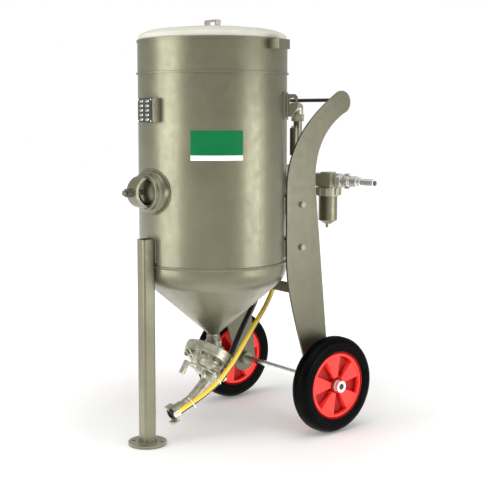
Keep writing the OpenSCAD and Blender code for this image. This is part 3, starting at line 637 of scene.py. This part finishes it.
def make_door_frame():
    """The handhole frame: a rounded lip, a straight neck and a flare down to the shell."""
    profile = [(30, -161), (30, -194.6), (30.9, -196.4), (32.6, -197.0), (38.6, -197.0), (40.4, -196.2),
               (41.0, -194.4), (41.1, -191.4), (42.0, -189.6), (44.5, -188.4), (47.3, -186.6),
               (49.6, -183.8), (50.7, -180.5), (51, -176), (51, -163), (41, -161)]
    verts, faces = [], []
    count, n = 96, len(profile)
    for k in range(count):
        a = 2 * math.pi * (k + 0.5) / count
        side = DOOR_HALF if math.cos(a) > 0 else -DOOR_HALF
        verts += [at(side + r * math.cos(a), y, DOOR_Z + r * math.sin(a)) for r, y in profile]
    for k in range(count):
        j = (k + 1) % count
        faces += [(k * n + i, j * n + i, j * n + (i + 1) % n, k * n + (i + 1) % n) for i in range(n)]
    frame_ring = add("door_frame_flared", verts, faces, OLIVE, "vessel", 50)
    clean(frame_ring)
    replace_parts(frame_ring, "door_frame")


def make_neck_rings():
    """Turned ridges of the union on the outlet nipple."""
    for i, z in enumerate((223.0, 227.2, 231.4)):
        turned(f"neck_ring_{i}", [(13.9, -1.7), (15.6, -1.5), (16.4, -0.6), (16.4, 0.6), (15.6, 1.5),
                                  (13.9, 1.7)], at(0, 0, z), (0, 0, 1), CAST, "vessel", 48)


def make_lid():
    """A shallow dome inside a groove, with a rounded brim that turns down over the collar's rim."""
    low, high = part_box("lid")
    r = (high.x - low.x) / 2 / MM
    profile = [(0.01, 30), (50, 30), (r - 76, 28.5), (r - 36, 24), (r - 21, 20.9), (r - 17.6, 19.2),
               (r - 16, 17.2), (r - 14.2, 16.4), (r - 12.8, 16.7), (r - 11.5, 17.1), (r - 6, 14.7),
               (r - 2.4, 12.3), (r - 0.5, 9.4), (r, 6), (r, 1.2), (r - 0.8, 0.2), (r - 2, 0), (r - 11, 0),
               (r - 12, -10), (r - 18, -10), (150, 8), (0.01, 8)]
    centre = ((low.x + high.x) / 2, (low.y + high.y) / 2, high.z - 30 * MM)
    dome = turned("lid_dome", profile, centre, (0, 0, 1), LID, "lid", 180, sharp=40)
    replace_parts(dome, "lid")


make_lid()
make_door_frame()
make_neck_rings()


FIELD_R = 3.0  # half height of the plate's raised blank fields, mm


def make_data_plate():
    low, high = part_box("data_plate")
    plate = solid_box("data_plate_sheet", (low.x, high.y - 0.0015, low.z), (high.x, high.y, high.z),
                      PLATE_DARK, "vessel", 0.3)
    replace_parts(plate, "data_plate")
    x_mid, z_mid = (low.x + high.x) / 2, (low.z + high.z) / 2
    face = high.y - 0.0015
    # raised blank fields, in two columns
    for col, (x_off, half) in enumerate(((-14, 7.5), (10, 7.5))):
        for row in range(5):
            z = z_mid + (row - 2) * 10.4 * MM
            verts, faces = [], []
            n = 28
            for depth, grow in ((0.0, 1.0), (0.55, 1.0), (0.85, 0.86)):
                for k in range(n):
                    a = 2 * math.pi * k / n
                    x = (half - FIELD_R) * (1 if math.cos(a) > 0 else -1) + FIELD_R * math.cos(a) * grow
                    verts.append((x_mid + (x_off + x) * MM, face - depth * MM,
                                  z + FIELD_R * math.sin(a) * grow * MM))
            for i in range(2):
                faces += [(i * n + k, i * n + (k + 1) % n, (i + 1) * n + (k + 1) % n, (i + 1) * n + k)
                          for k in range(n)]
            faces.append(tuple(2 * n + k for k in range(n)))
            field = add(f"data_plate_field_{col}{row}", verts, faces, STEEL, "vessel", 40)
            clean(field)
    for i, (x, z) in enumerate(((-26.5, -24.5), (25.5, -24.5), (-26.5, 24.5), (25.5, 24.5))):
        turned(f"data_plate_rivet_{i}", [(0.01, 0.9), (1.0, 0.8), (1.7, 0.4), (1.9, 0.0)],
               (x_mid + x * MM, face, z_mid + z * MM), (0, -1, 0), ZINC, "vessel", 20)


make_data_plate()

# ---------------------------------------------------------------- hoses and ties

PUSHER_ROUTE = [(-15, 264, 583), (-15, 262, 560), (-22, 246, 510), (-34, 220, 440),
                (-40, 194, 372), (-40, 174, 321), (-36, 155, 285), (-25, 105, 224), (-11, 61, 168),
                (-5, 44, 138), (0, 32, 123), (0, 20.7, 122)]
LINE_ROUTE = [(18, 264, 572), (22, 250, 510), (20, 222, 440), (16, 194, 372),
              (21, 167, 323), (34, 134, 291), (50, 86, 252), (64, 41, 212),
              (69, 9, 179), (71, -15, 158), (68, -35, 138), (60, -71, 112),
              (50, -100, 93), (43, -129, 77)]
TWIN = 11.0  # spacing of the two control hoses
TWIN_TURN = math.radians(41.4)  # how far round the first hose the second one lies
LOOSE_TIE_R = 11.3  # radius of the lower tie, which is round and not drawn tight
PUSHER_R, LINE_R = 8.0, 5.2


def beside(route, i):
    """The point of the second hose beside point i: behind and below it."""
    pts = [Vector(p) for p in route]
    d = (pts[min(i + 1, len(pts) - 1)] - pts[max(i - 1, 0)]).normalized()
    u = d.cross(Vector((1, 0, 0))).normalized()
    v = d.cross(u)
    return pts[i] + TWIN * (math.sin(TWIN_TURN) * v - math.cos(TWIN_TURN) * u)


def twin_route(route):
    return [beside(route, i) for i in range(len(route))]


def make_hoses():
    pusher = [at(*p) for p in PUSHER_ROUTE]
    verts, faces = sweep(spline(pusher, 10), PUSHER_R * 0.97 * MM, 24)
    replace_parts(add("pusher_hose_smooth", verts, faces, HOSE_BLACK, "vessel", 60), "pusher_hose")
    first = None
    for name, route, material in (("yellow", LINE_ROUTE, YELLOW),
                                  ("black", twin_route(LINE_ROUTE), HOSE_BLACK)):
        verts, faces = sweep(spline([at(*p) for p in route], 10), LINE_R * 0.98 * MM, 20)
        piece = add(f"control_hose_{name}", verts, faces, material, "vessel", 60)
        first = first or piece
    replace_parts(first, "control_hoses")


def tie_band(name, points, width, thickness):
    """A flat band through the points, which lie in one plane."""
    pts = [Vector(p) for p in points]
    centre = sum(pts, Vector()) / len(pts)
    normal = (pts[0] - centre).cross(pts[len(pts) // 4] - centre).normalized()
    verts, faces = [], []
    n = len(pts)
    for p in pts:
        out = (p - centre).normalized()
        for s, t in ((-1, 0), (1, 0), (1, 1), (-1, 1)):
            verts.append(p + normal * (s * width / 2 * MM) + out * (t * thickness * MM))
    for i in range(n):
        j = (i + 1) % n
        for k in range(4):
            m = (k + 1) % 4
            faces.append((i * 4 + k, j * 4 + k, j * 4 + m, i * 4 + m))
    obj = add(name, verts, faces, NYLON, "vessel", 50)
    clean(obj)
    return obj


def make_ties():
    made = []
    for tag, index in (("upper", 10), ("lower", 12)):
        before, here, after = (Vector(LINE_ROUTE[index + k]) for k in (-1, 0, 1))
        direction = (after - before).normalized()
        other = beside(LINE_ROUTE, index)
        u = (here - other).normalized()
        v = direction.cross(u).normalized()
        middle = (here + other) / 2
        reach = LINE_R + 0.15
        loop = []
        for k in range(48):
            a = 2 * math.pi * k / 48
            if tag == "upper":
                x = (TWIN / 2 if math.cos(a) > 0 else -TWIN / 2) + reach * math.cos(a)
                loop.append(at(*(middle + u * x + v * (reach * math.sin(a)))))
            else:
                loop.append(at(*(middle + (u * math.cos(a) + v * math.sin(a)) * LOOSE_TIE_R)))
        made.append(tie_band(f"cable_tie_{tag}", loop, 3.6, 1.1))
        head = at(*(middle + v * ((reach if tag == "upper" else LOOSE_TIE_R) + 2.4)))
        block = solid_box(f"cable_tie_head_{tag}", (-0.0028, -0.0024, -0.002), (0.0028, 0.0024, 0.002),
                          NYLON, "vessel", 0.5)
        basis = Matrix((u, direction, v)).transposed().to_4x4()
        block.data.transform(Matrix.Translation(head) @ basis)
    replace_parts(made[0], "cable_ties")


make_hoses()
make_ties()

# ---------------------------------------------------------------- floor and light


FLOOR_GLOW = (0.11, 0.60)  # light of its own, near the object and far from it
GLOW_REACH = (0.35, 1.5)  # where the glow starts to rise, and where it is full, in metres


def make_stage():
    mesh = bpy.data.meshes.new("floor")
    size = 9.0
    mesh.from_pydata([(-size, -size, -0.0006), (size, -size, -0.0006), (size, size, -0.0006),
                      (-size, size, -0.0006)], [], [(0, 1, 2, 3)])
    white = Shader("floor_white", (0.8, 0.8, 0.8), roughness=0.9, Specular_IOR_Level=0.1,
                   Emission_Color=(1, 1, 1, 1))
    spot = white.nodes.new("ShaderNodeVectorMath")
    spot.operation = "LENGTH"
    white.links.new(white.coord, spot.inputs[0])
    white.link(white.spread(spot.outputs["Value"], *FLOOR_GLOW, *GLOW_REACH), "Emission Strength")
    mesh.materials.append(white.mat)
    floor = bpy.data.objects.new("floor", mesh)
    bpy.context.scene.collection.objects.link(floor)


def area_light(name, turn, tall, away, size, power, spread=180.0, aim=0.45):
    """A soft box standing away from the object at a compass turn, in degrees, about it."""
    data = bpy.data.lights.new(name, "AREA")
    data.shape = "RECTANGLE"
    data.size, data.size_y = size
    data.energy = power
    data.spread = math.radians(spread)
    lamp = bpy.data.objects.new(name, data)
    bpy.context.scene.collection.objects.link(lamp)
    a = math.radians(turn)
    lamp.location = (away * math.cos(a), away * math.sin(a), tall)
    lamp.rotation_euler = (Vector((0, 0, aim)) - lamp.location).to_track_quat("-Z", "Y").to_euler()
    return lamp


def make_world():
    world = bpy.data.worlds.new("studio")
    world.use_nodes = True
    nodes, links = world.node_tree.nodes, world.node_tree.links
    nodes.clear()
    path = nodes.new("ShaderNodeLightPath")
    seen = nodes.new("ShaderNodeBackground")
    seen.inputs["Color"].default_value = (1, 1, 1, 1)
    seen.inputs["Strength"].default_value = 1.0
    lit = nodes.new("ShaderNodeBackground")
    lit.inputs["Color"].default_value = (1.0, 0.99, 0.97, 1)
    lit.inputs["Strength"].default_value = 0.60
    mix = nodes.new("ShaderNodeMixShader")
    out = nodes.new("ShaderNodeOutputWorld")
    links.new(path.outputs["Is Camera Ray"], mix.inputs["Fac"])
    links.new(lit.outputs[0], mix.inputs[1])
    links.new(seen.outputs[0], mix.inputs[2])
    links.new(mix.outputs[0], out.inputs["Surface"])
    bpy.context.scene.world = world


CAMERA_SIDE = math.degrees(CAMERA_TURN) - 90  # compass turn of the camera seen from the object
make_stage()
make_world()
area_light("box_left", CAMERA_SIDE - 67, 0.75, 2.4, (1.55, 1.7), 40)
area_light("box_right", CAMERA_SIDE + 64, 0.40, 2.4, (1.35, 1.05), 25)
area_light("box_top", CAMERA_SIDE, 3.4, 0.8, (3.0, 3.0), 60)
bounce = area_light("floor_bounce", 0, 0.004, 0.0, (1.0, 1.0), 2.8, aim=1.0)
bounce.visible_camera = False
bpy.context.scene.view_settings.view_transform = "Standard"
